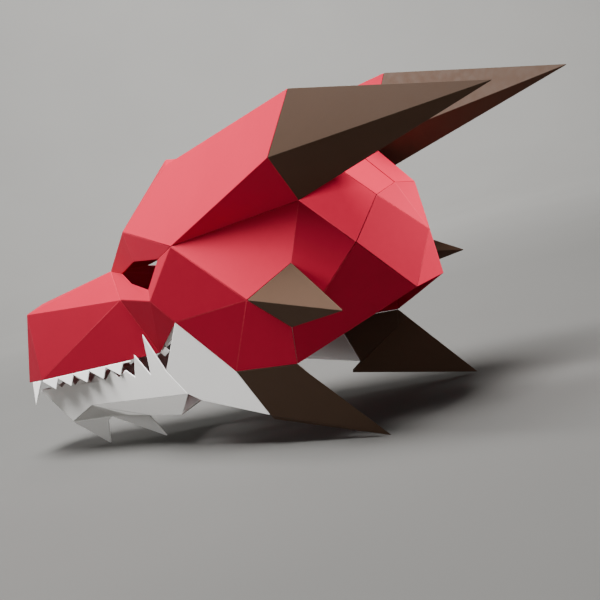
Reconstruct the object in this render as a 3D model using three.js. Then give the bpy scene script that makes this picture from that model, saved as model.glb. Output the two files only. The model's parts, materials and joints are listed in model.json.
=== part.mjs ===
import * as THREE from 'three';

// Dragon head mask of folded card: a red head, brown horns and spikes, a white jaw with teeth.
// Millimetres. The mask faces -Y, its left side is +X, and +Z is up. It rests on its chin and cheek spikes.

// Driving sizes of the card
const CARD_WALL = 1.2;
const SEAM_GAP = 0.3;

// Smallest area that still shows which way a triangle faces, and the damping of the corner shifts
const AREA_FLOOR = 0.001;
const SHIFT_DAMPING = 0.001;

// Upper teeth: a saw strip that hangs under the lip
const UPPER_TEETH = { count: 5, pitch: 28.7, start: 1, drop: 13.5, root: 2.2, lean: 0.67, tail: 13 };

// Share of the front lip edge that the fang takes, and how far its tip lies behind its front and down
const FANG = { from: 0.26, to: 0.93, tipBack: -5, tipDrop: 27 };

// Lower teeth along the jaw edge: where each root lies and how high, and where its tip lies and how high
const LOWER_TEETH = [
  { root: 22, rise: 1, tip: 48, height: 6.5 },
  { root: 54, rise: 1, tip: 81, height: 9.5 },
  { root: 87, rise: 1, tip: 116, height: 11.5 },
  { root: 123, rise: 1, tip: 149, height: 12 },
  { root: 155, rise: 1, tip: 178, height: 11.5 },
  { root: 183, rise: 1, tip: 204, height: 8 },
  { root: 214.5, rise: -1, tip: 235.5, height: 22.5 },
  { root: 245, rise: -1.3, tip: 270, height: 42 },
];

// Eye hole: how far its three upper corners lie from the brow towards the deepest point of the socket
const EYE = { inner: 0.405, upper: 0.657, outer: 0.393 };

// Share of the upper fold of a cheek spike that lies ahead of its inner face
const SPIKE_SHOULDER = 0.12;

// Fold corners of the left half, given as side from the midline, back from the middle and height
const SNOUT_CORNERS = [
  { corner: 'noseRidge', side: 0, back: -288, up: 169 },
  { corner: 'noseCorner', side: 24, back: -291, up: 163 },
  { corner: 'lipFront', side: 15, back: -331, up: 86 },
  { corner: 'lipCorner', side: 39, back: -282, up: 90 },
  { corner: 'lipRear', side: 63, back: -79.5, up: 100 },
  { corner: 'snoutBend', side: 58, back: -114.5, up: 159 },
  { corner: 'bridge', side: 0, back: -172, up: 186 },
];

const BROW_CORNERS = [
  { corner: 'browInner', side: 36, back: -106, up: 223 },
  { corner: 'browTop', side: 31, back: -33, up: 273 },
  { corner: 'browOuter', side: 90, back: -4, up: 199 },
  { corner: 'socketLow', side: 86, back: -51, up: 154 },
  { corner: 'socketDeep', side: 51, back: -88, up: 175.5 },
  { corner: 'eyeRear', side: 68, back: -65.5, up: 163.5 },
  { corner: 'eyeLow', side: 43, back: -108, up: 171.5 },
  { corner: 'foreheadPeak', side: 0, back: -56, up: 280 },
];

const HORN_CORNERS = [
  { corner: 'hornTop', side: 84, back: 160, up: 300 },
  { corner: 'hornOuter', side: 110, back: 140, up: 250 },
  { corner: 'hornUnder', side: 72, back: 133, up: 209 },
  { corner: 'hornInner', side: 43, back: 148, up: 240 },
  { corner: 'hornTip', side: 82, back: 334, up: 258 },
];

const CROWN_CORNERS = [
  { corner: 'crownFront', side: 0, back: 154, up: 240 },
  { corner: 'crownMid', side: 0, back: 187, up: 201 },
  { corner: 'crownSide', side: 36, back: 187, up: 196 },
  { corner: 'crownBack', side: 0, back: 208, up: 154 },
  { corner: 'napeSide', side: 66, back: 173, up: 163 },
  { corner: 'napeLow', side: 27, back: 196, up: 110 },
];

const CHEEK_CORNERS = [
  { corner: 'mouthCorner', side: 90, back: -25, up: 130 },
  { corner: 'earFront', side: 100, back: 71, up: 138 },
  { corner: 'earTop', side: 87, back: 118, up: 160 },
  { corner: 'earRear', side: 84, back: 140, up: 129 },
  { corner: 'earLow', side: 99, back: 109, up: 107 },
  { corner: 'earTip', side: 119, back: 177, up: 116 },
  { corner: 'rimMid', side: 66, back: 143, up: 90 },
  { corner: 'rimFront', side: 95, back: 101, up: 74 },
  { corner: 'spikeFront', side: 89.5, back: 28.5, up: 75 },
  { corner: 'spikeLow', side: 84, back: 48, up: 29.5 },
  { corner: 'spikeInner', side: 72, back: 42, up: 22 },
  { corner: 'spikeTip', side: 90, back: 172, up: 0 },
];

const JAW_CORNERS = [
  { corner: 'jawFront', side: 0, back: -334, up: 71 },
  { corner: 'chin', side: 0, back: -296, up: 30 },
  { corner: 'jawBend', side: 20, back: -238, up: 49.5 },
  { corner: 'jawRear', side: 71, back: -52, up: 57 },
  { corner: 'jawNotch', side: 73, back: -69, up: 83.5 },
  { corner: 'plateLow', side: 72, back: -36.5, up: 49 },
  { corner: 'underFront', side: 20.5, back: -231, up: 47.5 },
  { corner: 'underMid', side: 24, back: -185, up: 34 },
  { corner: 'underSpike', side: 34, back: -146, up: 33 },
  { corner: 'underRear', side: 48, back: -88, up: 32 },
  { corner: 'keelFront', side: 0, back: -234, up: 30 },
  { corner: 'keelMid', side: 0, back: -184, up: 33.8 },
  { corner: 'keelRear', side: 0, back: -101, up: 32.3 },
];

// Chin spikes are flat, of two cards glued face to face, and hang from the keel. Back and up of their corners
const SPIKE_DROP = SEAM_GAP;
const FRONT_SPIKE = [[-296, 30], [-248, 0], [-241.5, 26], [-234.5, 30]];
const REAR_SPIKE = [[-233.5, 30], [-162, 0], [-184, 33.8]];

// Card colours
function cardStock(name, color, roughness) {
  return new THREE.MeshStandardMaterial({ name, color, roughness, metalness: 0 });
}

const RED_CARD = cardStock('red_card', 0xc42d42, 0.72);
const BROWN_CARD = cardStock('brown_card', 0x6a5040, 0.72);
const WHITE_CARD = cardStock('white_card', 0xeae6e0, 0.7);

// Corner lookup. A leading minus names the mirrored corner on the right side.
const corners = new Map();
const allRows = [SNOUT_CORNERS, BROW_CORNERS, HORN_CORNERS, CROWN_CORNERS, CHEEK_CORNERS, JAW_CORNERS].flat();
for (const row of allRows) {
  corners.set(row.corner, new THREE.Vector3(row.side, row.back, row.up));
}

function mirrorKey(key) {
  if (key.startsWith('-')) {
    return key.slice(1);
  }
  return corners.get(key).x === 0 ? key : `-${key}`;
}

function place(key) {
  if (!key.startsWith('-')) {
    return corners.get(key).clone();
  }
  const point = corners.get(key.slice(1)).clone();
  point.x = -point.x;
  return point;
}

function plainName(key) {
  return key.replace('-', '');
}

function between(nameA, nameB, share) {
  return place(nameA).lerp(place(nameB), share);
}

// The inner face of a cheek spike begins a little way along its upper fold
corners.set('spikeShoulder', between('rimFront', 'spikeTip', SPIKE_SHOULDER));

// Upper corners of the eye hole lie on the folds that run into the socket
corners.set('eyeInner', between('bridge', 'socketDeep', EYE.inner));
corners.set('eyeUpper', between('browInner', 'socketDeep', EYE.upper));
corners.set('eyeOuter', between('browOuter', 'socketDeep', EYE.outer));

function facetNormal(keys) {
  const normal = new THREE.Vector3();
  const points = keys.map(place);
  points.forEach((point, i) => {
    normal.add(new THREE.Vector3().crossVectors(point, points[(i + 1) % points.length]));
  });
  return normal.normalize();
}

// Ruler on a straight card edge: a point so far along it and so high across it, in the plane of its panel
function edgeRuler(start, end, panel) {
  const along = place(end).sub(place(start)).normalize();
  const across = new THREE.Vector3().crossVectors(facetNormal(panel), along);
  return (distance, height) => {
    const point = place(start).addScaledVector(along, distance);
    return point.addScaledVector(across, height);
  };
}

// Teeth cut into the top edge of the lower jaw, listed from the rear to the front
function lowerJawTeeth() {
  const jaw = ['jawFront', 'chin', 'jawRear'];
  const at = edgeRuler('jawFront', 'jawNotch', jaw);
  const names = [];
  LOWER_TEETH.forEach((tooth, i) => {
    corners.set(`lowerRoot${i}`, at(tooth.root, tooth.rise));
    corners.set(`lowerTip${i}`, at(tooth.tip, tooth.height));
    names.unshift(`lowerTip${i}`, `lowerRoot${i}`);
  });
  return names;
}

// Saw strip under the lip, listed from the front round the tips to the rear and back along the lip
function upperTeethStrip() {
  const side = ['lipCorner', 'lipRear', 'snoutBend'];
  const at = edgeRuler('lipCorner', 'lipRear', side);
  const { count, pitch, start, drop, root, lean, tail } = UPPER_TEETH;
  const names = ['stripFront'];
  corners.set('stripFront', at(start, -SEAM_GAP / 2));
  for (let i = 0; i < count; i += 1) {
    const rootAt = start + i * pitch;
    corners.set(`upperRoot${i}`, at(rootAt, -root));
    corners.set(`upperTip${i}`, at(rootAt + lean * pitch, -drop));
    names.push(`upperRoot${i}`, `upperTip${i}`);
  }
  const end = start + count * pitch;
  corners.set('stripEnd', at(end, -root));
  corners.set('stripTail', at(end + tail, -root));
  corners.set('stripTailTop', at(end + tail, -SEAM_GAP / 2));
  names.push('stripEnd', 'stripTail', 'stripTailTop');
  return names;
}

// Flat fang under the corner of the lip
function fangOutline() {
  const at = edgeRuler('lipFront', 'lipCorner', ['noseCorner', 'lipFront', 'lipCorner']);
  const length = place('lipFront').distanceTo(place('lipCorner'));
  const drop = SEAM_GAP;
  corners.set('fangFront', at(FANG.from * length, -drop));
  corners.set('fangRear', at(FANG.to * length, -drop));
  corners.set('fangTip', at(FANG.from * length + FANG.tipBack, -FANG.tipDrop));
  return ['fangFront', 'fangTip', 'fangRear'];
}

// Card pieces of one side. Each facet lists its corners anticlockwise as seen from outside.
const SIDE_PIECES = [
  {
    name: 'snout_side',
    card: RED_CARD,
    facets: [
      ['noseCorner', 'snoutBend', 'bridge'],
      ['noseCorner', 'lipCorner', 'snoutBend'],
      ['lipCorner', 'lipRear', 'snoutBend'],
      ['noseCorner', 'lipFront', 'lipCorner'],
    ],
  },
  {
    name: 'jowl',
    card: RED_CARD,
    facets: [
      ['snoutBend', 'lipRear', 'socketLow'],
      ['socketLow', 'lipRear', 'mouthCorner'],
    ],
  },
  {
    name: 'eye_socket',
    card: RED_CARD,
    facets: [
      ['bridge', 'snoutBend', 'socketLow', 'eyeRear', 'eyeLow', 'eyeInner'],
      ['socketLow', 'browOuter', 'eyeOuter', 'eyeRear'],
    ],
  },
  {
    name: 'brow_front',
    card: RED_CARD,
    facets: [
      ['bridge', 'eyeInner', 'eyeUpper', 'browInner'],
      ['browInner', 'eyeUpper', 'eyeOuter', 'browOuter'],
    ],
  },
  {
    name: 'horn_sleeve',
    card: RED_CARD,
    facets: [['browInner', 'browOuter', 'hornOuter', 'hornTop', 'browTop']],
  },
  { name: 'sleeve_underside', card: RED_CARD, facets: [['browOuter', 'hornUnder', 'hornOuter']] },
  { name: 'sleeve_inner', card: RED_CARD, facets: [['hornTop', 'hornInner', 'browTop']] },
  {
    name: 'temple',
    card: RED_CARD,
    facets: [
      ['browOuter', 'earFront', 'earTop', 'hornUnder'],
      ['hornUnder', 'earTop', 'earRear', 'napeSide'],
    ],
  },
  { name: 'crown_side', card: RED_CARD, facets: [['hornUnder', 'napeSide', 'crownSide', 'hornInner']] },
  { name: 'back_panel', card: RED_CARD, facets: [['napeSide', 'napeLow', 'crownBack', 'crownSide']] },
  {
    name: 'neck_panel',
    card: RED_CARD,
    facets: [
      ['earRear', 'rimMid', 'napeLow', 'napeSide'],
      ['earLow', 'rimFront', 'rimMid', 'earRear'],
    ],
  },
  {
    name: 'cheek',
    card: RED_CARD,
    facets: [
      ['browOuter', 'socketLow', 'mouthCorner', 'earFront'],
      ['mouthCorner', 'spikeFront', 'earFront'],
      ['earFront', 'spikeFront', 'rimFront', 'earLow'],
    ],
  },
  {
    name: 'ear_spike',
    card: BROWN_CARD,
    facets: [
      ['earFront', 'earTip', 'earTop'],
      ['earFront', 'earLow', 'earTip'],
      ['earTop', 'earTip', 'earRear'],
      ['earRear', 'earTip', 'earLow'],
    ],
  },
  {
    name: 'horn',
    card: BROWN_CARD,
    facets: [
      ['hornTop', 'hornOuter', 'hornTip'],
      ['hornOuter', 'hornUnder', 'hornTip'],
      ['hornUnder', 'hornInner', 'hornTip'],
      ['hornInner', 'hornTop', 'hornTip'],
    ],
  },
  {
    name: 'cheek_spike',
    card: BROWN_CARD,
    facets: [
      ['spikeFront', 'spikeLow', 'spikeTip', 'spikeShoulder', 'rimFront'],
      ['spikeLow', 'spikeInner', 'spikeTip'],
      ['spikeInner', 'spikeShoulder', 'spikeTip'],
    ],
  },
  {
    name: 'cheek_plate',
    card: WHITE_CARD,
    facets: [['mouthCorner', 'jawNotch', 'jawRear', 'plateLow', 'spikeLow', 'spikeFront']],
  },
  {
    name: 'jaw_side',
    card: WHITE_CARD,
    facets: [['jawFront', 'chin', 'jawBend', 'jawRear', 'jawNotch', ...lowerJawTeeth()]],
  },
  {
    name: 'jaw_under',
    card: WHITE_CARD,
    facets: [['jawBend', 'underFront', 'underMid', 'underSpike', 'underRear', 'jawRear']],
  },
  { name: 'upper_teeth', card: WHITE_CARD, facets: [upperTeethStrip()] },
  { name: 'front_fang', card: WHITE_CARD, facets: [fangOutline()] },
];

// Card pieces that cross the midline. Facets of the left half are mirrored, and the rest are whole.
const MIDDLE_PIECES = [
  {
    name: 'nose_front',
    card: RED_CARD,
    whole: [['noseRidge', '-noseCorner', '-lipFront', 'lipFront', 'noseCorner']],
  },
  { name: 'snout_ridge', card: RED_CARD, halves: [['noseRidge', 'noseCorner', 'bridge']] },
  {
    name: 'forehead',
    card: RED_CARD,
    halves: [
      ['bridge', 'browInner', 'foreheadPeak'],
      ['browInner', 'browTop', 'foreheadPeak'],
    ],
  },
  { name: 'crown_front', card: RED_CARD, halves: [['foreheadPeak', 'browTop', 'hornInner', 'crownFront']] },
  { name: 'crown_top', card: RED_CARD, halves: [['crownFront', 'hornInner', 'crownSide', 'crownMid']] },
  { name: 'crown_kite', card: RED_CARD, whole: [['crownMid', 'crownSide', 'crownBack', '-crownSide']] },
  { name: 'nape', card: RED_CARD, whole: [['crownBack', 'napeLow', '-napeLow']] },
  {
    name: 'jaw_floor',
    card: WHITE_CARD,
    halves: [
      ['chin', 'keelFront', 'jawBend'],
      ['jawBend', 'keelFront', 'underMid', 'underFront'],
      ['keelFront', 'keelMid', 'underMid'],
      ['underMid', 'keelMid', 'keelRear', 'underRear', 'underSpike'],
    ],
  },
];

// Flat pieces that stand in the midline
const FLAT_PIECES = [
  { name: 'chin_spike_front', card: WHITE_CARD, outline: FRONT_SPIKE },
  { name: 'chin_spike_rear', card: WHITE_CARD, outline: REAR_SPIKE },
];

function mirrorFacet(keys) {
  return keys.map(mirrorKey).reverse();
}

// Every piece of the mask with its own facets, left, right and middle
function listPieces() {
  const pieces = [];
  for (const { name, card, facets } of SIDE_PIECES) {
    pieces.push({ name: `${name}_left`, card, facets });
    pieces.push({ name: `${name}_right`, card, facets: facets.map(mirrorFacet) });
  }
  for (const { name, card, halves = [], whole = [] } of MIDDLE_PIECES) {
    pieces.push({ name, card, facets: [...halves, ...halves.map(mirrorFacet), ...whole] });
  }
  return pieces;
}

// Shift that best keeps every given direction at its wanted distance
function balancedShift(wishes) {
  const m = new Float64Array(9);
  const rhs = new THREE.Vector3();
  for (const { direction: d, distance } of wishes) {
    const row = d.toArray();
    for (let i = 0; i < 3; i += 1) {
      for (let j = 0; j < 3; j += 1) {
        m[3 * i + j] += row[i] * row[j];
      }
    }
    rhs.addScaledVector(d, distance);
  }
  const normal = new THREE.Matrix3().set(
    m[0] + SHIFT_DAMPING, m[1], m[2],
    m[3], m[4] + SHIFT_DAMPING, m[5],
    m[6], m[7], m[8] + SHIFT_DAMPING,
  );
  return rhs.applyMatrix3(normal.invert());
}

// Shift from the outside of the card to its inside at every corner, so that neighbours share a mitre
function wallShifts(pieces) {
  const wishes = new Map();
  for (const { facets } of pieces) {
    for (const keys of facets) {
      const direction = facetNormal(keys);
      for (const key of keys) {
        wishes.set(key, [...(wishes.get(key) ?? []), { direction, distance: -CARD_WALL }]);
      }
    }
  }
  return new Map([...wishes].map(([key, list]) => [key, balancedShift(list)]));
}

// Edges of a facet, each named by its two ends in order
function edgeNames(keys) {
  return keys.map((key, i) => `${key}>${keys[(i + 1) % keys.length]}`);
}

// Free and seam edges of a piece: the ones that only one of its facets uses
function boundaryEdges(facets) {
  const used = new Set(facets.flatMap(edgeNames));
  const edges = [];
  for (const keys of facets) {
    const normal = facetNormal(keys);
    keys.forEach((from, i) => {
      const to = keys[(i + 1) % keys.length];
      if (!used.has(`${to}>${from}`)) {
        const along = place(to).sub(place(from)).normalize();
        edges.push({ from, to, outward: new THREE.Vector3().crossVectors(along, normal) });
      }
    });
  }
  return edges;
}

// Shift that draws a piece back from its edges by half a seam, within the planes of its facets
function seamShifts(facets, edges) {
  const wishes = new Map();
  const wish = (key, direction, distance) => {
    wishes.set(key, [...(wishes.get(key) ?? []), { direction, distance }]);
  };
  for (const keys of facets) {
    const normal = facetNormal(keys);
    keys.forEach((key) => wish(key, normal, 0));
  }
  for (const { from, to, outward } of edges) {
    wish(from, outward, -SEAM_GAP / 2);
    wish(to, outward, -SEAM_GAP / 2);
  }
  return new Map([...wishes].map(([key, list]) => [key, balancedShift(list)]));
}

// Triangles of one facet, turned the same way as the facet itself. A right facet mirrors its left one.
function facetTriangles(keys) {
  if (keys.every((key) => place(key).x <= 0)) {
    return facetTriangles(mirrorFacet(keys)).map(mirrorFacet);
  }
  const normal = facetNormal(keys);
  const xAxis = place(keys[1]).sub(place(keys[0])).normalize();
  const yAxis = new THREE.Vector3().crossVectors(normal, xAxis);
  const flat = keys.map((key) => new THREE.Vector2(place(key).dot(xAxis), place(key).dot(yAxis)));
  const triangles = THREE.ShapeUtils.triangulateShape(flat, []);
  const facesAway = ([a, b, c]) => THREE.ShapeUtils.area([flat[a], flat[b], flat[c]]) < -AREA_FLOOR;
  const turned = triangles.some(facesAway);
  return triangles.map(([a, b, c]) => (turned ? [a, c, b] : [a, b, c]).map((index) => keys[index]));
}

// Closed sheet of card: outside facets, inside facets and the cut edges between them.
// Both cards at a seam split their cut edge along the same diagonal, so a twisted seam stays open.
function foldedCard(facets, walls) {
  const edges = boundaryEdges(facets);
  const seams = seamShifts(facets, edges);
  const outside = (key) => place(key).add(seams.get(key));
  const inside = (key) => outside(key).add(walls.get(key));
  const points = [];
  const triangle = (a, b, c) => points.push(a, b, c);
  for (const [a, b, c] of facets.flatMap(facetTriangles)) {
    triangle(outside(a), outside(b), outside(c));
    triangle(inside(a), inside(c), inside(b));
  }
  for (const { from, to } of edges) {
    if (plainName(from) < plainName(to)) {
      triangle(outside(from), inside(from), outside(to));
      triangle(outside(to), inside(from), inside(to));
    } else {
      triangle(outside(from), inside(to), outside(to));
      triangle(outside(from), inside(from), inside(to));
    }
  }
  const geometry = new THREE.BufferGeometry().setFromPoints(points);
  geometry.computeVertexNormals();
  return geometry;
}

// Two flat cards face to face, with their outline in the midline. Only the tip stays where it is given.
function flatCard(outline) {
  const hung = outline.map(([back, up]) => new THREE.Vector2(back, up > 0 ? up - SPIKE_DROP : up));
  const depth = 2 * CARD_WALL;
  const sheet = new THREE.ExtrudeGeometry(new THREE.Shape(hung), { depth, bevelEnabled: false });
  sheet.translate(0, 0, -depth / 2);
  const axes = [new THREE.Vector3(0, 1, 0), new THREE.Vector3(0, 0, 1), new THREE.Vector3(1, 0, 0)];
  return sheet.applyMatrix4(new THREE.Matrix4().makeBasis(...axes));
}

function buildMask() {
  const mask = new THREE.Group();
  const pieces = listPieces();
  const walls = wallShifts(pieces);
  for (const { name, card, facets } of pieces) {
    const mesh = new THREE.Mesh(foldedCard(facets, walls), card);
    mesh.name = name;
    mask.add(mesh);
  }
  for (const { name, card, outline } of FLAT_PIECES) {
    const mesh = new THREE.Mesh(flatCard(outline), card);
    mesh.name = name;
    mask.add(mesh);
  }
  return mask;
}

export default buildMask();
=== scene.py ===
"""Dresses the dragon head mask of folded card and sets it in a plain studio."""

import json
import logging
import math
from collections.abc import Callable, Iterator, Sequence
from dataclasses import dataclass
from enum import Enum

import bpy
from mathutils import Matrix, Vector

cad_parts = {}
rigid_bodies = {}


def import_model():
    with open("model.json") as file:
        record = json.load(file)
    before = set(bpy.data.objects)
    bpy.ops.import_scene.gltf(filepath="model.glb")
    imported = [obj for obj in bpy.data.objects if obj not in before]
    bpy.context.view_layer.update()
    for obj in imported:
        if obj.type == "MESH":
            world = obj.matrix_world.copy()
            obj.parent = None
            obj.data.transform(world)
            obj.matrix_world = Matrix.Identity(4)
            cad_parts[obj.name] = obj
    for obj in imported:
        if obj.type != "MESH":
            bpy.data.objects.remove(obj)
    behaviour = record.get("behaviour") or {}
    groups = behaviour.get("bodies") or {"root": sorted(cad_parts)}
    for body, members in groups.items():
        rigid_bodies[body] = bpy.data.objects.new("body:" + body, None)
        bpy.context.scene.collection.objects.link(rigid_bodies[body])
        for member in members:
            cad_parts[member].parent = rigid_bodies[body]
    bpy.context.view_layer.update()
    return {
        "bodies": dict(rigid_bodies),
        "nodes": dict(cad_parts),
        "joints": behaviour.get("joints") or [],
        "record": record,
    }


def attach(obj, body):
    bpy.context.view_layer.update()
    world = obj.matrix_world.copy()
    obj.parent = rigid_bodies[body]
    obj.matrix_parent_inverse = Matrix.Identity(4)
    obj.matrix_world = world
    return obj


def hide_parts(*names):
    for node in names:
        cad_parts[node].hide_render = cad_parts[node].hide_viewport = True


LOG = logging.getLogger("dragon_mask")
BODY = "root"
FLOOR = "studio_floor"
MILLIMETRE = 0.001
QUARTER_TURN = 0.5 * math.pi
MATRIX_ROWS = 4

Colour = tuple[float, float, float]
Point = tuple[float, float, float]


class Stock(Enum):
    """Card stocks of the mask, named as the record names their slots."""

    RED = "red_card"
    BROWN = "brown_card"
    WHITE = "white_card"


class Slot(Enum):
    """Material slots of a dressed sheet of card."""

    FACE = 0
    CREASE = 1


class Side(Enum):
    """Sides of the mask, by the ending of their pieces' names."""

    LEFT = "left"
    RIGHT = "right"


SheetNames = tuple[tuple[Stock, tuple[str, ...]], ...]
SheetValues = tuple[tuple[str, float], ...]


def start_alone(piece: bpy.types.Object) -> None:
    """Makes one object the only selected and the active one.

    Args:
        piece: The object that the next operators act on.
    """
    bpy.ops.object.select_all(action="DESELECT")
    piece.select_set(True)
    bpy.context.view_layer.objects.active = piece


def select_faces(piece: bpy.types.Object, chosen: Callable[[bpy.types.MeshPolygon], bool]) -> None:
    """Selects some faces of a piece and leaves it in edit mode.

    Args:
        piece: The active piece.
        chosen: Tells of a face whether it is to be selected.
    """
    bpy.ops.object.mode_set(mode="EDIT")
    bpy.ops.mesh.select_mode(type="FACE")
    bpy.ops.mesh.select_all(action="DESELECT")
    bpy.ops.object.mode_set(mode="OBJECT")
    for face in piece.data.polygons:
        face.select = chosen(face)
    bpy.ops.object.mode_set(mode="EDIT")


class NodeSketch:
    """A material's node tree, with short calls that add and join nodes."""

    # Most of a noise pattern lies between these values.
    NOISE_LOW = 0.3
    NOISE_HIGH = 0.7
    # A Mix node's colour sockets share their names with others, so they are found by number.
    MIX_FIRST = 6
    MIX_SECOND = 7
    MIX_RESULT = 2

    def __init__(self, name: str) -> None:
        """Starts an empty material.

        Args:
            name: The material's name.
        """
        self.material = bpy.data.materials.new(name)
        self.material.use_nodes = True
        self.tree = self.material.node_tree
        self.tree.nodes.clear()

    def add(self, kind: str, **values: object) -> bpy.types.Node:
        """Adds a node and sets its values.

        Args:
            kind: The node's type name.
            **values: Input sockets by name, with underscores for spaces, or else node attributes.

        Returns:
            The new node.
        """
        node = self.tree.nodes.new(kind)
        for key, value in values.items():
            socket = node.inputs.get(key.replace("_", " "))
            if socket is None:
                setattr(node, key, value)
            else:
                socket.default_value = value
        return node

    def join(self, source: bpy.types.NodeSocket, target: bpy.types.NodeSocket) -> None:
        """Links an output socket to an input socket."""
        self.tree.links.new(source, target)

    def noise(self, place: bpy.types.Node, scale: float, detail: float) -> bpy.types.NodeSocket:
        """Adds a noise pattern on Object coordinates.

        Args:
            place: The Texture Coordinate node.
            scale: Repeats a metre.
            detail: Octaves of finer noise.

        Returns:
            The pattern's factor socket.
        """
        node = self.add("ShaderNodeTexNoise", Scale=scale, Detail=detail)
        self.join(place.outputs["Object"], node.inputs["Vector"])
        return node.outputs["Fac"]

    def spread(self, source: bpy.types.NodeSocket, low: float, high: float) -> bpy.types.NodeSocket:
        """Spreads the middle of a noise pattern over a range.

        Args:
            source: The pattern.
            low: The value at the pattern's low end.
            high: The value at its high end.

        Returns:
            The spread value's socket.
        """
        node = self.add(
            "ShaderNodeMapRange",
            From_Min=self.NOISE_LOW,
            From_Max=self.NOISE_HIGH,
            To_Min=low,
            To_Max=high,
        )
        self.join(source, node.inputs["Value"])
        return node.outputs["Result"]

    def mix(
        self,
        share: bpy.types.NodeSocket,
        first: Colour | bpy.types.NodeSocket,
        second: Colour,
    ) -> bpy.types.NodeSocket:
        """Mixes two colours.

        Args:
            share: The share of the second colour.
            first: A colour, or the socket of one.
            second: A colour.

        Returns:
            The mixed colour's socket.
        """
        node = self.add("ShaderNodeMix", data_type="RGBA")
        self.join(share, node.inputs["Factor"])
        if isinstance(first, bpy.types.NodeSocket):
            self.join(first, node.inputs[self.MIX_FIRST])
        else:
            node.inputs[self.MIX_FIRST].default_value = (*first, 1.0)
        node.inputs[self.MIX_SECOND].default_value = (*second, 1.0)
        return node.outputs[self.MIX_RESULT]


@dataclass(frozen=True)
class CardFinish:
    """Finish of one stock of card: dyed pulp with mottled tone, short fibres and a faint buckle."""

    stock: Stock
    tone: Colour
    deep: Colour
    pale: Colour
    # Paler colour of folds and cut edges: partly scuffed pulp, partly painted highlight.
    crease: Colour
    roughness: float = 0.62
    gloss: float = 0.14
    mottle_scale: float = 13.0
    mottle_detail: float = 3.0
    mottle_share: float = 0.5
    cloud_scale: float = 150.0
    cloud_detail: float = 4.0
    cloud_share: float = 0.3
    cloud_smoother: float = 0.05
    cloud_rougher: float = 0.08
    fibre_scale: float = 1500.0
    fibre_detail: float = 5.0
    fibre_share: float = 0.22
    fibre_depth: float = 0.12 * MILLIMETRE
    fibre_strength: float = 0.35
    buckle_scale: float = 22.0
    buckle_detail: float = 1.0
    buckle_depth: float = 1.2 * MILLIMETRE
    buckle_strength: float = 0.12
    # Pattern and share of the paler crease colour: partly scuffed pulp, partly painted highlight.
    scuff_and_highlight_scale: float = 300.0
    scuff_and_highlight_share: tuple[float, float] = (0.1, 0.75)
    scuff_rougher: float = 0.15
    scuff_strength: float = 0.5

    def face_material(self) -> bpy.types.Material:
        """Builds the material of the flat card.

        Returns:
            The material.
        """
        sketch = NodeSketch(self.stock.value + "_face")
        place = sketch.add("ShaderNodeTexCoord")
        mottle = sketch.noise(place, self.mottle_scale, self.mottle_detail)
        cloud = sketch.noise(place, self.cloud_scale, self.cloud_detail)
        fibre = sketch.noise(place, self.fibre_scale, self.fibre_detail)
        toned = sketch.mix(sketch.spread(mottle, 0.0, self.mottle_share), self.tone, self.deep)
        clouded = sketch.mix(sketch.spread(cloud, 0.0, self.cloud_share), toned, self.pale)
        speckled = sketch.mix(sketch.spread(fibre, 0.0, self.fibre_share), clouded, self.deep)
        buckle = sketch.noise(place, self.buckle_scale, self.buckle_detail)
        waved = sketch.add("ShaderNodeBump", Strength=self.buckle_strength, Distance=self.buckle_depth)
        grained = sketch.add("ShaderNodeBump", Strength=self.fibre_strength, Distance=self.fibre_depth)
        sketch.join(buckle, waved.inputs["Height"])
        sketch.join(fibre, grained.inputs["Height"])
        sketch.join(waved.outputs["Normal"], grained.inputs["Normal"])
        smoothest = self.roughness - self.cloud_smoother
        roughest = self.roughness + self.cloud_rougher
        rough = sketch.spread(cloud, smoothest, roughest)
        return self.shade(sketch, speckled, rough, grained.outputs["Normal"])

    def crease_material(self) -> bpy.types.Material:
        """Builds the material of folds and cut edges, paler than the face: partly scuffed pulp, partly
        painted highlight where the folds catch the light.

        Returns:
            The material.
        """
        sketch = NodeSketch(self.stock.value + "_crease")
        place = sketch.add("ShaderNodeTexCoord")
        scuff_and_highlight = sketch.noise(place, self.scuff_and_highlight_scale, self.cloud_detail)
        fibre = sketch.noise(place, self.fibre_scale, self.fibre_detail)
        # Mixes towards the paler crease colour: partly scuffed pulp, partly painted highlight along the
        # folds.
        colour = sketch.mix(sketch.spread(scuff_and_highlight, *self.scuff_and_highlight_share), self.tone, self.crease)
        grained = sketch.add("ShaderNodeBump", Strength=self.scuff_strength, Distance=self.fibre_depth)
        sketch.join(fibre, grained.inputs["Height"])
        rough = sketch.spread(scuff_and_highlight, self.roughness, self.roughness + self.scuff_rougher)
        return self.shade(sketch, colour, rough, grained.outputs["Normal"])

    def shade(
        self,
        sketch: NodeSketch,
        colour: bpy.types.NodeSocket,
        rough: bpy.types.NodeSocket,
        normal: bpy.types.NodeSocket,
    ) -> bpy.types.Material:
        """Ends a sketch in a card shader.

        Args:
            sketch: The node tree to end.
            colour: The base colour.
            rough: The roughness.
            normal: The bumped normal.

        Returns:
            The finished material.
        """
        shader = sketch.add("ShaderNodeBsdfPrincipled", Specular_IOR_Level=self.gloss)
        output = sketch.add("ShaderNodeOutputMaterial")
        sketch.join(colour, shader.inputs["Base Color"])
        sketch.join(rough, shader.inputs["Roughness"])
        sketch.join(normal, shader.inputs["Normal"])
        sketch.join(shader.outputs["BSDF"], output.inputs["Surface"])
        return sketch.material


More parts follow.
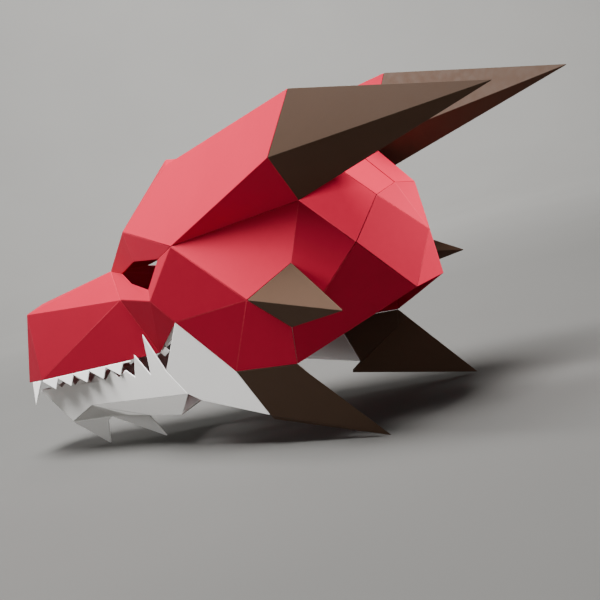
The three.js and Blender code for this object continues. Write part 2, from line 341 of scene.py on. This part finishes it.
# Each stock's crease colour is paler than its tone: partly scuffed pulp, partly painted highlight on folds
# and cut edges.
FINISHES = (
    CardFinish(
        stock=Stock.RED,
        tone=(0.68, 0.018, 0.058),
        deep=(0.60, 0.015, 0.049),
        pale=(0.72, 0.024, 0.067),
        crease=(0.80, 0.070, 0.115),
        gloss=0.05,
    ),
    CardFinish(
        stock=Stock.BROWN,
        tone=(0.104, 0.059, 0.037),
        deep=(0.086, 0.048, 0.029),
        pale=(0.118, 0.069, 0.045),
        crease=(0.15, 0.10, 0.072),
        roughness=0.58,
    ),
    CardFinish(
        stock=Stock.WHITE,
        tone=(0.80, 0.785, 0.765),
        deep=(0.76, 0.745, 0.725),
        pale=(0.83, 0.82, 0.80),
        crease=(0.96, 0.95, 0.94),
    ),
)


class CardRack:
    """The finished materials of every card stock, made once and shared by the pieces."""

    def __init__(self) -> None:
        """Builds the face and the crease of each stock."""
        self.faces = {finish.stock: finish.face_material() for finish in FINISHES}
        self.creases = {finish.stock: finish.crease_material() for finish in FINISHES}

    def dress(self, piece: bpy.types.Object, stock: Stock) -> None:
        """Gives a piece the face and the crease of its stock.

        Args:
            piece: The piece to dress.
            stock: The card that it is made of.
        """
        piece.data.materials.clear()
        piece.data.materials.append(self.faces[stock])
        piece.data.materials.append(self.creases[stock])


@dataclass
class CardSheet:
    """One folded sheet of card with rounded folds and cut edges."""

    node: str
    stock: Stock
    fold_angle: float
    fold_width: float
    slit_width: float = 0.0
    slit_core: float = 0.9
    weld: float = 0.01 * MILLIMETRE
    flat_angle: float = math.radians(0.1)
    fold_steps: int = 2

    def build(self, cad: bpy.types.Object, rack: CardRack) -> bpy.types.Object:
        """Builds the sheet over its solid and dresses it.

        Args:
            cad: The solid that gives the sheet its shape.
            rack: The card materials.

        Returns:
            The finished piece.
        """
        piece = bpy.data.objects.new(self.node + "_card", cad.data.copy())
        bpy.context.scene.collection.objects.link(piece)
        rack.dress(piece, self.stock)
        start_alone(piece)
        self.join_facets(piece)
        if self.slit_width > 0.0:
            self.cut_slit(piece)
        self.round_folds(piece)
        self.keep_facets_flat(piece)
        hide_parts(self.node)
        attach(piece, BODY)
        return piece

    def join_facets(self, piece: bpy.types.Object) -> None:
        """Welds the loose triangles and joins those that lie in one plane.

        Args:
            piece: The active piece.
        """
        bpy.ops.mesh.customdata_custom_splitnormals_clear()
        bpy.ops.object.mode_set(mode="EDIT")
        bpy.ops.mesh.select_all(action="SELECT")
        bpy.ops.mesh.remove_doubles(threshold=self.weld)
        bpy.ops.mesh.dissolve_limited(angle_limit=self.flat_angle)
        bpy.ops.object.mode_set(mode="OBJECT")
        piece.data.polygons.foreach_set("material_index", [Slot.FACE.value] * len(piece.data.polygons))

    def cut_slit(self, piece: bpy.types.Object) -> None:
        """Cuts the sheet in two along the midline, where its halves leave a narrow slit.

        Args:
            piece: The active piece.
        """
        half = self.slit_width / 2.0
        bpy.ops.object.mode_set(mode="EDIT")
        for place in (half, -half):
            bpy.ops.mesh.select_all(action="SELECT")
            bpy.ops.mesh.bisect(plane_co=(place, 0.0, 0.0), plane_no=(1.0, 0.0, 0.0), use_fill=True)
        select_faces(piece, lambda face: abs(face.center.x) < self.slit_core * half)
        bpy.ops.mesh.delete(type="FACE")
        bpy.ops.object.mode_set(mode="OBJECT")

    def round_folds(self, piece: bpy.types.Object) -> None:
        """Rounds every fold and cut edge into a narrow strip in the paler crease colour, partly scuffed
        pulp and partly painted highlight.

        Args:
            piece: The active piece.
        """
        bpy.ops.object.modifier_add(type="BEVEL")
        fold = piece.modifiers[-1]
        fold.width = self.fold_width
        fold.segments = self.fold_steps
        fold.limit_method = "ANGLE"
        fold.angle_limit = self.fold_angle
        # The fold strips take the crease material: partly scuffed pulp, partly painted highlight.
        fold.material = Slot.CREASE.value
        bpy.ops.object.modifier_apply(modifier=fold.name)

    def keep_facets_flat(self, piece: bpy.types.Object) -> None:
        """Parts the shading of the flat facets from that of their folds.

        Args:
            piece: The active piece.
        """
        bpy.ops.object.shade_smooth()
        select_faces(piece, lambda face: face.material_index == Slot.CREASE.value)
        bpy.ops.mesh.region_to_loop()
        bpy.ops.mesh.mark_sharp()
        bpy.ops.object.mode_set(mode="OBJECT")


@dataclass
class SubAssembly:
    """A group of card sheets that are glued together."""

    title: str
    paired: SheetNames = ()
    middle: SheetNames = ()
    fold_angle: float = math.radians(3.6)
    fold_width: float = 0.4 * MILLIMETRE
    warped: SheetValues = ()
    slits: SheetValues = ()

    def sheets(self) -> Iterator[CardSheet]:
        """Lists the group's sheets, left, right and middle.

        Returns:
            An iterator over the sheets.
        """
        limits = dict(self.warped)
        slits = dict(self.slits)
        for stock, names in self.paired:
            for name in names:
                for side in Side:
                    angle = limits.get(name, self.fold_angle)
                    yield CardSheet(f"{name}_{side.value}", stock, angle, self.fold_width)
        for stock, names in self.middle:
            for name in names:
                angle = limits.get(name, self.fold_angle)
                yield CardSheet(name, stock, angle, self.fold_width, slits.get(name, 0.0))

    def build(self, nodes: dict[str, bpy.types.Object], rack: CardRack) -> None:
        """Builds and dresses every sheet of the group.

        Args:
            nodes: The solids by name.
            rack: The card materials.
        """
        for sheet in self.sheets():
            piece = sheet.build(nodes[sheet.node], rack)
            LOG.info("%s: %s, %d faces", self.title, piece.name, len(piece.data.polygons))


@dataclass
class Snout(SubAssembly):
    """Red upper jaw, from the nose to the corners of the mouth."""

    title: str = "snout"
    paired: SheetNames = ((Stock.RED, ("snout_side", "jowl")),)
    middle: SheetNames = ((Stock.RED, ("nose_front", "snout_ridge")),)


@dataclass
class Brow(SubAssembly):
    """Eye sockets with their holes, and the forehead between them."""

    title: str = "brow"
    paired: SheetNames = ((Stock.RED, ("eye_socket", "brow_front")),)
    middle: SheetNames = ((Stock.RED, ("forehead",)),)
    warped: SheetValues = (("eye_socket", math.radians(17.0)),)


@dataclass
class Horns(SubAssembly):
    """Red sleeves that carry the brown horns."""

    title: str = "horns"
    paired: SheetNames = (
        (Stock.RED, ("horn_sleeve", "sleeve_underside", "sleeve_inner")),
        (Stock.BROWN, ("horn",)),
    )


@dataclass
class Crown(SubAssembly):
    """Top, sides and back of the head."""

    title: str = "crown"
    paired: SheetNames = ((Stock.RED, ("temple", "crown_side", "back_panel", "neck_panel")),)
    middle: SheetNames = ((Stock.RED, ("crown_front", "crown_top", "crown_kite", "nape")),)
    warped: SheetValues = (
        ("crown_front", math.radians(6.0)),
        ("neck_panel", math.radians(5.0)),
    )
    slits: SheetValues = (("crown_top", 1.5 * MILLIMETRE),)


@dataclass
class Cheeks(SubAssembly):
    """Red cheeks with their brown spikes and white plates."""

    title: str = "cheeks"
    paired: SheetNames = (
        (Stock.RED, ("cheek",)),
        (Stock.BROWN, ("ear_spike", "cheek_spike")),
        (Stock.WHITE, ("cheek_plate",)),
    )
    fold_width: float = 0.5 * MILLIMETRE
    warped: SheetValues = (("cheek", math.radians(1.15)),)


@dataclass
class Jaw(SubAssembly):
    """White lower jaw with saw teeth and chin spikes, and the teeth under the lip."""

    title: str = "jaw"
    paired: SheetNames = ((Stock.WHITE, ("jaw_side", "jaw_under", "upper_teeth", "front_fang")),)
    middle: SheetNames = ((Stock.WHITE, ("jaw_floor", "chin_spike_front", "chin_spike_rear")),)
    fold_width: float = 0.55 * MILLIMETRE


@dataclass
class JowlTab:
    """White glue strip and tab that stick out from under the rear edge of a jowl."""

    side: Side
    strip_share: tuple[float, float] = (0.27, 0.98)
    strip_width: float = 9.0 * MILLIMETRE
    strip_reach: float = 3.4 * MILLIMETRE
    tab_length: float = 15.0 * MILLIMETRE
    tab_width: float = 5.6 * MILLIMETRE
    tab_share: float = 0.136
    tab_reach: float = 7.0 * MILLIMETRE
    tab_turn: float = math.radians(6.0)
    tab_bend: float = math.radians(-15.0)
    thickness: float = 0.5 * MILLIMETRE
    depth: float = 1.6 * MILLIMETRE
    edge_round: float = 0.1 * MILLIMETRE
    edge_steps: int = 2

    def edge_frame(self, jowl: bpy.types.Object) -> tuple[Matrix, float]:
        """Finds the rear edge of the jowl.

        Args:
            jowl: The solid of the jowl.

        Returns:
            A frame at the low end of the edge, along it, out of the card and off its face, and its length.
        """
        points = [vertex.co.copy() for vertex in jowl.data.vertices]
        low = min(points, key=lambda point: point.z)
        rear = max(points, key=lambda point: point.y)
        top = max(points, key=lambda point: point.z)
        along = (rear - low).normalized()
        sign = 1.0 if self.side is Side.LEFT else -1.0
        normal = (rear - low).cross(top - low).normalized()
        if normal.x * sign < 0.0:
            normal.negate()
        out = along.cross(normal)
        if out.dot(top - low) > 0.0:
            out.negate()
        frame = Matrix((along, out, normal)).transposed().to_4x4()
        frame.translation = low
        return frame, (rear - low).length

    def slip(self, name: str, size: Point, spot: Matrix, rack: CardRack) -> bpy.types.Object:
        """Cuts a small slip of white card.

        Args:
            name: The piece's name.
            size: Its length, width and thickness.
            spot: Where its middle lies and how it is turned.
            rack: The card materials.

        Returns:
            The slip.
        """
        bpy.ops.object.select_all(action="DESELECT")
        bpy.ops.mesh.primitive_cube_add(size=1.0)
        piece = bpy.context.active_object
        piece.name = name
        piece.data.transform(spot @ Matrix.Diagonal((*size, 1.0)))
        bpy.ops.object.mode_set(mode="EDIT")
        bpy.ops.mesh.select_all(action="SELECT")
        bpy.ops.mesh.normals_make_consistent(inside=False)
        # Rounded edges take the paler crease material: partly scuffed pulp, partly painted highlight.
        bpy.ops.mesh.bevel(
            offset=self.edge_round,
            segments=self.edge_steps,
            affect="EDGES",
            material=Slot.CREASE.value,
        )
        bpy.ops.object.mode_set(mode="OBJECT")
        rack.dress(piece, Stock.WHITE)
        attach(piece, BODY)
        return piece

    def build(self, jowl: bpy.types.Object, rack: CardRack) -> None:
        """Builds the strip and the tab of one side.

        Args:
            jowl: The solid of the jowl.
            rack: The card materials.
        """
        frame, length = self.edge_frame(jowl)
        start, end = (share * length for share in self.strip_share)
        middle = Vector(((start + end) / 2.0, self.strip_reach - self.strip_width / 2.0, -self.depth))
        size = (end - start, self.strip_width, self.thickness)
        spot = frame @ Matrix.Translation(middle)
        strip = self.slip(f"jowl_strip_{self.side.value}", size, spot, rack)
        bend = Matrix.Rotation(self.tab_bend, MATRIX_ROWS, "X")
        turn = Matrix.Rotation(self.tab_turn, MATRIX_ROWS, "Z")
        middle = Vector((self.tab_share * length, self.tab_reach - self.tab_width / 2.0, -self.depth))
        spot = frame @ Matrix.Translation(middle) @ (bend @ turn)
        size = (self.tab_length, self.tab_width, self.thickness)
        tab = self.slip(f"jowl_tab_{self.side.value}", size, spot, rack)
        LOG.info("jowl tab: %s, %s", strip.name, tab.name)


@dataclass(frozen=True)
class SoftBox:
    """A square studio light that faces a point on the mask."""

    name: str
    place: Point
    aim: Point
    size: float
    power: float
    only: tuple[str, ...] = ()

    def build(self) -> None:
        """Hangs the light and turns it to its aim."""
        bpy.ops.object.select_all(action="DESELECT")
        bpy.ops.object.light_add(type="AREA", location=self.place)
        lamp = bpy.context.active_object
        lamp.name = self.name
        lamp.data.shape = "SQUARE"
        lamp.data.size = self.size
        lamp.data.energy = self.power
        way = Vector(self.aim) - Vector(self.place)
        lamp.rotation_euler = way.to_track_quat("-Z", "Y").to_euler()
        if self.only:
            self.flag_off(lamp)

    def flag_off(self, lamp: bpy.types.Object) -> None:
        """Keeps the light on the chosen pieces and off the rest.

        Args:
            lamp: The light.
        """
        lit = bpy.data.collections.new(self.name + "_lit")
        for piece in bpy.data.objects:
            if piece.name.startswith(self.only):
                lit.objects.link(piece)
        lamp.light_linking.receiver_collection = lit


MASK_MIDDLE = (0.0, 0.0, 0.15)
MASK_FOOT = (0.0, 0.0, 0.05)
JAW_MIDDLE = (0.0, -0.1, 0.1)
HIGH_FRONT_SPOT = (0.47, -0.88, 0.98)
LOW_SIDE_SPOT = (1.05, -0.25, 0.14)
NEAR_SIDE_SPOT = (0.98, 0.74, 0.36)
BACK_PIECES = ("back_panel", "crown_top", "crown_kite", "crown_front", "nape")
TEETH_PIECES = ("jaw_side_left", "upper_teeth_left", "front_fang", "jowl_tab")


@dataclass
class Studio:
    """Pale floor that curves up into a backdrop, soft lights and the camera."""

    floor_radius: float = 2.4
    cove_radius: float = 1.5
    wall_height: float = 1.2
    sides: int = 96
    cove_steps: int = 16
    floor_tone: Colour = (0.205, 0.202, 0.193)
    floor_deep: Colour = (0.190, 0.187, 0.179)
    floor_drop: float = 0.2 * MILLIMETRE
    floor_cloud_scale: float = 3.0
    floor_cloud_detail: float = 2.0
    floor_cloud_share: float = 0.5
    floor_roughness: float = 0.9
    floor_gloss: float = 0.1
    sky: Colour = (0.92, 0.95, 1.0)
    sky_strength: float = 0.01
    camera_place: Point = (0.850, 0.6556, 0.2293)
    camera_azimuth: float = math.radians(125.25)
    camera_elevation: float = math.radians(6.24)
    camera_roll: float = math.radians(-15.83)
    camera_lens: float = 66.0
    lights: tuple[SoftBox, ...] = (
        SoftBox("top_box", (0.20, -0.04, 1.42), MASK_MIDDLE, 0.7, 41.0),
        SoftBox("rear_box", (-0.63, 1.09, 0.49), MASK_MIDDLE, 0.6, 30.0, BACK_PIECES),
        SoftBox("front_box", (0.1, -1.25, 0.49), MASK_MIDDLE, 0.8, 2.5),
        SoftBox("backdrop_box", (-1.4, -1.0, 2.4), (-3.4, -2.4, 0.5), 1.6, 215.0),
        SoftBox("front_wall_box", (1.0, -1.4, 2.4), (2.4, -3.4, 1.2), 1.6, 55.0, (FLOOR,)),
        SoftBox("near_wall_box", (1.4, 1.0, 2.4), (3.4, 2.4, 1.2), 1.6, 40.0, (FLOOR,)),
        SoftBox("rear_wall_box", (-1.0, 1.4, 2.4), (-2.4, 3.4, 1.2), 1.6, 90.0, (FLOOR,)),
        SoftBox("temple_box", HIGH_FRONT_SPOT, MASK_MIDDLE, 0.5, 44.0, ("temple",)),
        SoftBox("crown_box", (1.10, 0.60, 0.45), (0.0, 0.1, 0.2), 0.5, 12.0, ("crown_side",)),
        SoftBox("ear_box", (0.45, 0.20, 1.30), (0.1, 0.1, 0.15), 0.5, 22.0, ("ear_spike",)),
        SoftBox("sleeve_box", HIGH_FRONT_SPOT, (0.0, 0.0, 0.2), 0.5, 12.0, ("horn_sleeve",)),
        SoftBox("plate_box", LOW_SIDE_SPOT, JAW_MIDDLE, 0.5, 10.5, ("cheek_plate",)),
        SoftBox("jaw_box", LOW_SIDE_SPOT, JAW_MIDDLE, 0.5, 6.5, ("jaw_under",)),
        SoftBox("teeth_box", (0.50, -0.15, 0.85), (0.0, -0.15, 0.1), 0.45, 30.0, TEETH_PIECES),
        SoftBox("chin_box", NEAR_SIDE_SPOT, MASK_FOOT, 0.4, 4.2, ("chin_spike",)),
        SoftBox("spike_box", NEAR_SIDE_SPOT, MASK_FOOT, 0.4, 1.6, ("cheek_spike_right",)),
    )

    def build(self) -> None:
        """Builds the floor, the lights, the sky and the camera."""
        self.lay_floor()
        for light in self.lights:
            light.build()
        self.fill_sky()
        self.set_camera()
        LOG.info("studio: floor, %d lights and camera", len(self.lights))

    def lay_floor(self) -> None:
        """Spreads the floor and draws its rim up into a round backdrop."""
        bpy.ops.object.select_all(action="DESELECT")
        bpy.ops.mesh.primitive_circle_add(
            vertices=self.sides,
            radius=self.floor_radius,
            fill_type="NGON",
            location=(0.0, 0.0, -self.floor_drop),
        )
        floor = bpy.context.active_object
        floor.name = FLOOR
        bpy.ops.object.mode_set(mode="EDIT")
        bpy.ops.mesh.select_mode(type="EDGE")
        bpy.ops.mesh.select_all(action="SELECT")
        radius = self.floor_radius
        height = 0.0
        for step in range(1, self.cove_steps + 1):
            turn = QUARTER_TURN * step / self.cove_steps
            wider = self.floor_radius + self.cove_radius * math.sin(turn)
            higher = self.cove_radius * (1.0 - math.cos(turn))
            self.draw_rim(higher - height, wider / radius)
            radius, height = wider, higher
        self.draw_rim(self.wall_height, 1.0)
        bpy.ops.object.mode_set(mode="OBJECT")
        bpy.ops.object.transform_apply(location=True, rotation=True, scale=True)
        bpy.ops.object.shade_smooth()
        floor.data.materials.append(self.floor_material())

    def draw_rim(self, rise: float, growth: float) -> None:
        """Extrudes the selected rim upwards by a rise and widens it by a growth."""
        bpy.ops.mesh.extrude_edges_move(TRANSFORM_OT_translate={"value": (0.0, 0.0, rise)})
        bpy.ops.transform.resize(value=(growth, growth, 1.0))

    def floor_material(self) -> bpy.types.Material:
        """Builds the matt paper of the floor.

        Returns:
            The material.
        """
        sketch = NodeSketch("studio_paper")
        place = sketch.add("ShaderNodeTexCoord")
        cloud = sketch.noise(place, self.floor_cloud_scale, self.floor_cloud_detail)
        share = sketch.spread(cloud, 0.0, self.floor_cloud_share)
        colour = sketch.mix(share, self.floor_tone, self.floor_deep)
        shader = sketch.add(
            "ShaderNodeBsdfPrincipled",
            Roughness=self.floor_roughness,
            Specular_IOR_Level=self.floor_gloss,
        )
        output = sketch.add("ShaderNodeOutputMaterial")
        sketch.join(colour, shader.inputs["Base Color"])
        sketch.join(shader.outputs["BSDF"], output.inputs["Surface"])
        return sketch.material

    def fill_sky(self) -> None:
        """Sets the soft light that comes from all round."""
        world = bpy.data.worlds.new("studio_sky")
        world.use_nodes = True
        shade = world.node_tree.nodes["Background"]
        shade.inputs["Color"].default_value = (*self.sky, 1.0)
        shade.inputs["Strength"].default_value = self.sky_strength
        bpy.context.scene.world = world

    def set_camera(self) -> None:
        """Stands the camera at the side and a little behind the mask, rolled with it."""
        bpy.ops.object.select_all(action="DESELECT")
        bpy.ops.object.camera_add(location=self.camera_place)
        camera = bpy.context.active_object
        camera.name = "studio_camera"
        camera.data.lens = self.camera_lens
        turn = Matrix.Rotation(self.camera_azimuth, MATRIX_ROWS, "Z")
        tilt = Matrix.Rotation(QUARTER_TURN - self.camera_elevation, MATRIX_ROWS, "X")
        roll = Matrix.Rotation(self.camera_roll, MATRIX_ROWS, "Z")
        camera.matrix_world = Matrix.Translation(self.camera_place) @ turn @ tilt @ roll
        bpy.context.scene.camera = camera


def main() -> None:
    """Builds the mask and its studio in order."""
    logging.basicConfig(level=logging.INFO, format="%(name)s: %(message)s")
    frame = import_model()
    nodes = frame["nodes"]
    rack = CardRack()
    for group in (Snout(), Brow(), Horns(), Crown(), Cheeks(), Jaw()):
        group.build(nodes, rack)
    for side in Side:
        JowlTab(side).build(nodes[f"jowl_{side.value}"], rack)
    Studio().build()


if __name__ == "__main__":
    main()
